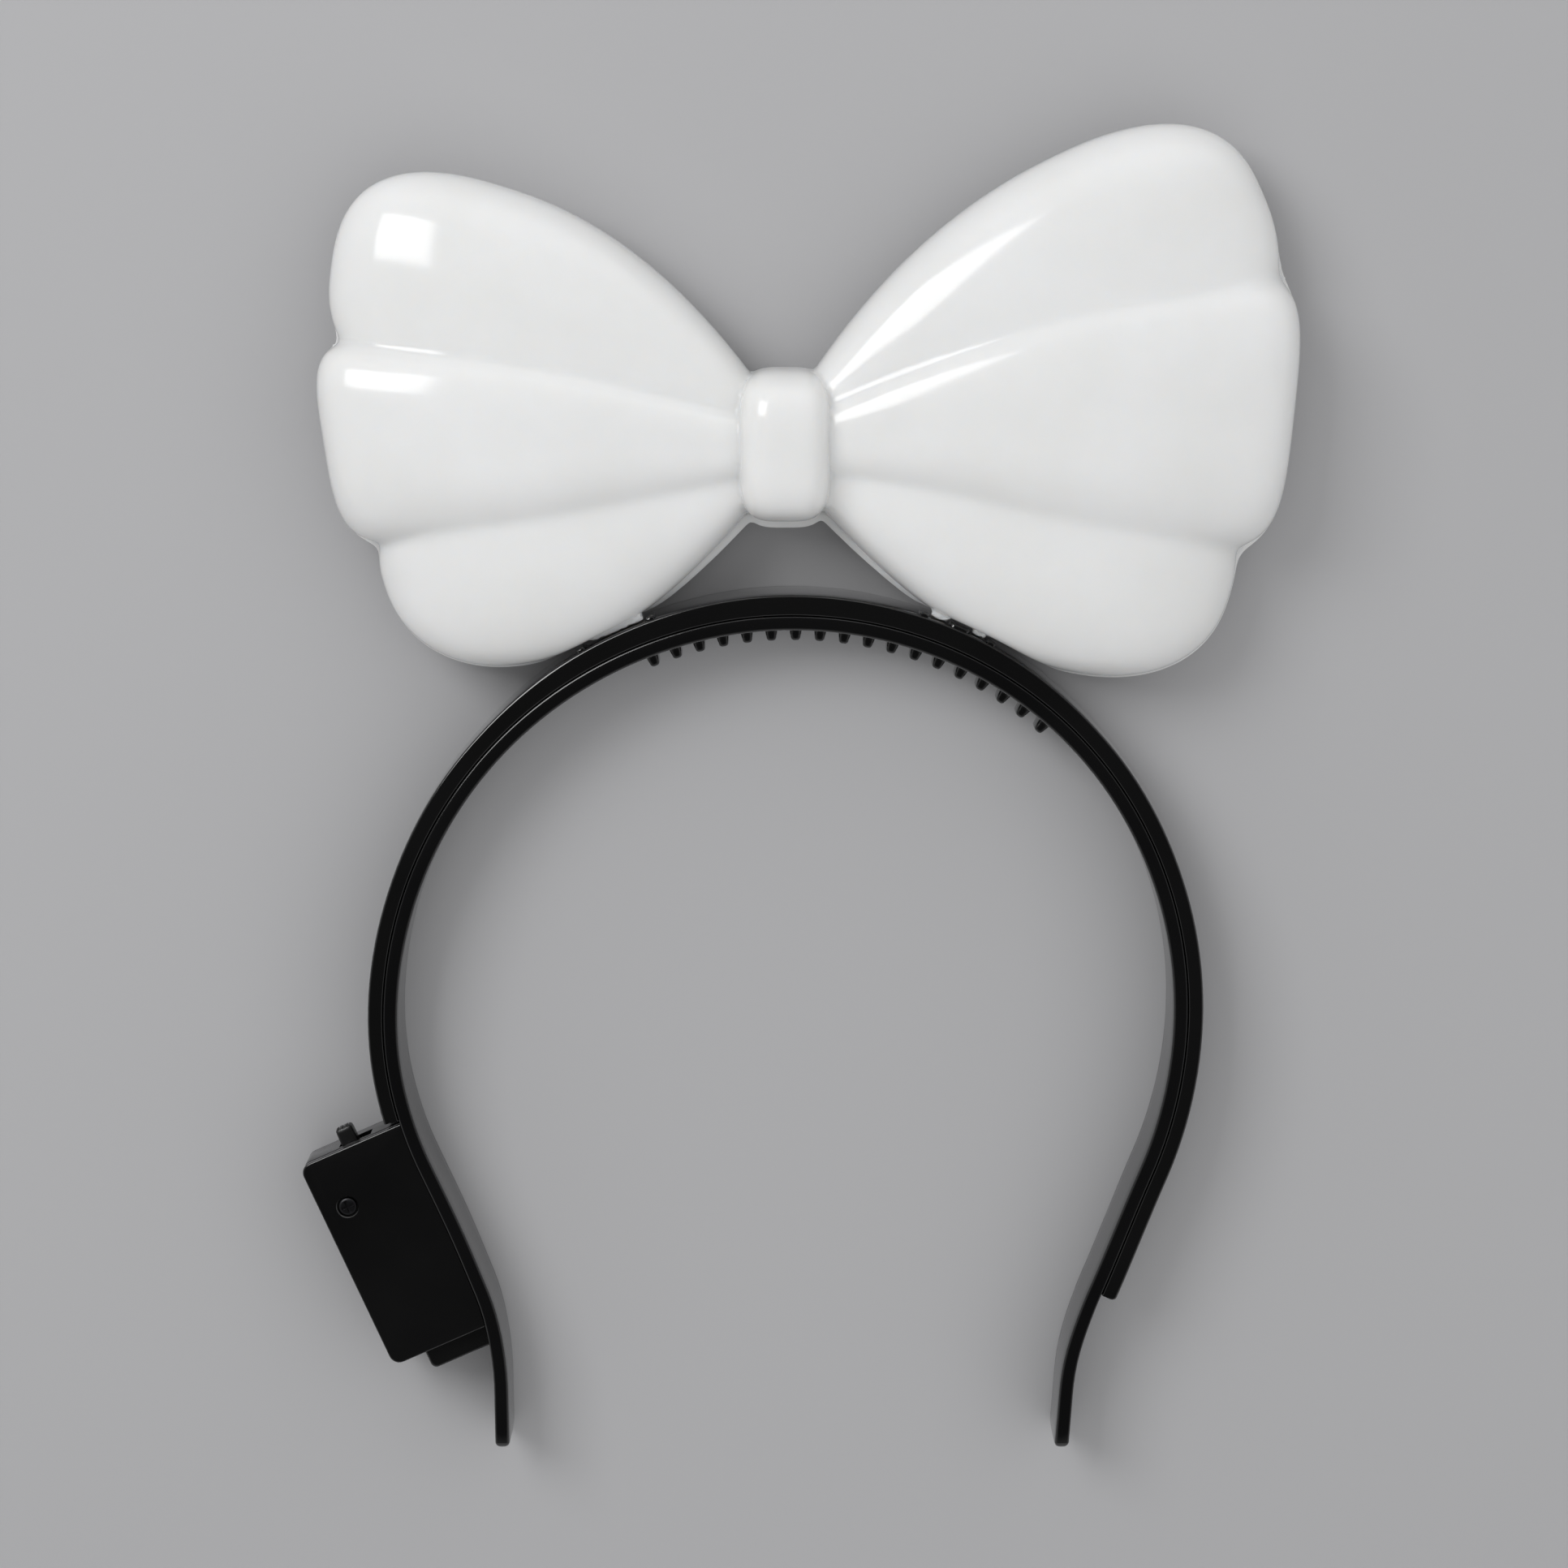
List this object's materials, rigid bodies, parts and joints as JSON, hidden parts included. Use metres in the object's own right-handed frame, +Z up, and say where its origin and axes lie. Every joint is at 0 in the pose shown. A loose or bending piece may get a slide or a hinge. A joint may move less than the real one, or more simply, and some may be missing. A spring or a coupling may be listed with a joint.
{
  "type": "light-up bow headband",
  "caption": "Black two-layer plastic headband with an inner comb, a battery case with a slide switch on one leg, and a hollow glossy opal bow that lights up.",
  "frame": {"origin": "middle of the underside of the whole object's bounding box, as it lies on its back", "axes": "+X to the viewer's right, +Y from the head toward the bow, +Z up, out of the front of the bow"},
  "size_m": [0.158, 0.213, 0.0245],
  "materials": {
    "black_band": "glossy black moulded plastic",
    "black_case": "semi-gloss black moulded plastic",
    "screw_steel": "dark plated screw",
    "opal_shell": "glossy opal white plastic, slightly translucent"
  },
  "bodies": {
    "bow_headband": {"headband": "black_band", "band_cover": "black_band", "battery_case": "black_case", "battery_lid": "black_case", "lid_screw": "screw_steel", "bow_front_shell": "opal_shell", "bow_back_shell": "opal_shell"},
    "switch": {"switch_knob": "black_case"}
  },
  "joints": [
    {"name": "switch_slide", "type": "slide", "parent": "bow_headband", "child": "switch", "axis": [0.9135, 0.4067, 0], "range_m": [0, 0.002]}
  ]
}
